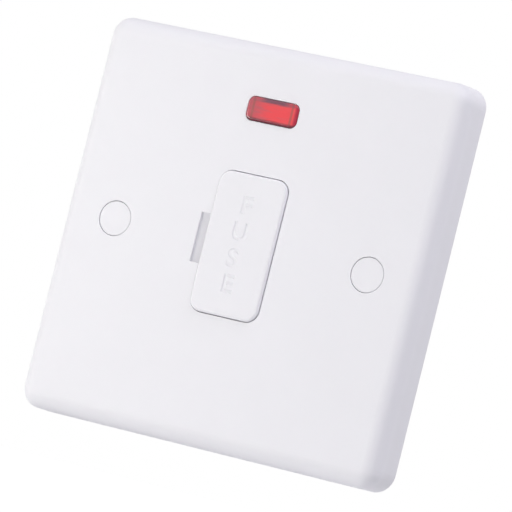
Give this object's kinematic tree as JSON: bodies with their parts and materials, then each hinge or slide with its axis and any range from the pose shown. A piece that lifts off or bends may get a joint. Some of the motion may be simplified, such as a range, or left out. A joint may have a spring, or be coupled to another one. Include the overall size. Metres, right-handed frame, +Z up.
{
  "type": "fused connection unit",
  "caption": "Square white wall plate with a pull-out fuse carrier, red power indicator, blank screw caps and a rear terminal housing.",
  "frame": {"origin": "middle of the plate's rim plane, where it meets the wall, midway between the two fixing holes", "axes": "+X right as seen from the front, +Y into the wall, +Z up; the front faces -Y"},
  "size_m": [0.086, 0.0248, 0.086],
  "materials": {
    "white_moulding": "white urea moulding, satin gloss",
    "housing_moulding": "off-white moulding, plain",
    "fuse_ceramic": "unglazed white ceramic",
    "silvered_wire": "silvered wire",
    "nickel_plate": "nickel plate",
    "clip_bronze": "phosphor bronze strip",
    "terminal_brass": "machined brass",
    "screw_brass": "turned brass",
    "screw_steel": "zinc plated steel",
    "lens_red": "clear red moulding",
    "lamp_glass": "clear glass",
    "tinned_wire": "tinned wire",
    "resistor_body": "lacquered body"
  },
  "bodies": {
    "unit": {"front_plate": "white_moulding", "rear_housing": "housing_moulding", "supply_clip": "clip_bronze", "load_clip": "clip_bronze", "live_supply_terminal": "terminal_brass", "live_load_terminal": "terminal_brass", "neutral_bar": "terminal_brass", "earth_bar": "terminal_brass", "neon_lens": "lens_red", "neon_lamp": "lamp_glass", "neon_load_lead": "tinned_wire", "neon_resistor_lead": "tinned_wire", "resistor_neutral_lead": "tinned_wire", "neon_resistor": "resistor_body", "earth_supply_screw": "screw_brass", "live_supply_screw": "screw_brass", "neutral_supply_screw": "screw_brass", "earth_load_screw": "screw_brass", "live_load_screw": "screw_brass", "neutral_load_screw": "screw_brass", "housing_screw_left_lower": "screw_steel", "housing_screw_left_upper": "screw_steel", "housing_screw_right_lower": "screw_steel", "housing_screw_right_upper": "screw_steel"},
    "carrier": {"fuse_carrier": "white_moulding", "fuse_tube": "fuse_ceramic", "fuse_element": "silvered_wire", "fuse_cap_upper": "nickel_plate", "fuse_cap_lower": "nickel_plate"},
    "cap_left": {"screw_cap_left": "white_moulding"},
    "cap_right": {"screw_cap_right": "white_moulding"}
  },
  "joints": [
    {"name": "carrier_slide", "type": "slide", "parent": "unit", "child": "carrier", "axis": [0, -1, 0], "range_m": [0, 0.0125]},
    {"name": "cap_left_pull", "type": "slide", "parent": "unit", "child": "cap_left", "axis": [0, -1, 0], "range_m": [0, 0.004]},
    {"name": "cap_right_pull", "type": "slide", "parent": "unit", "child": "cap_right", "axis": [0, -1, 0], "range_m": [0, 0.004]}
  ]
}
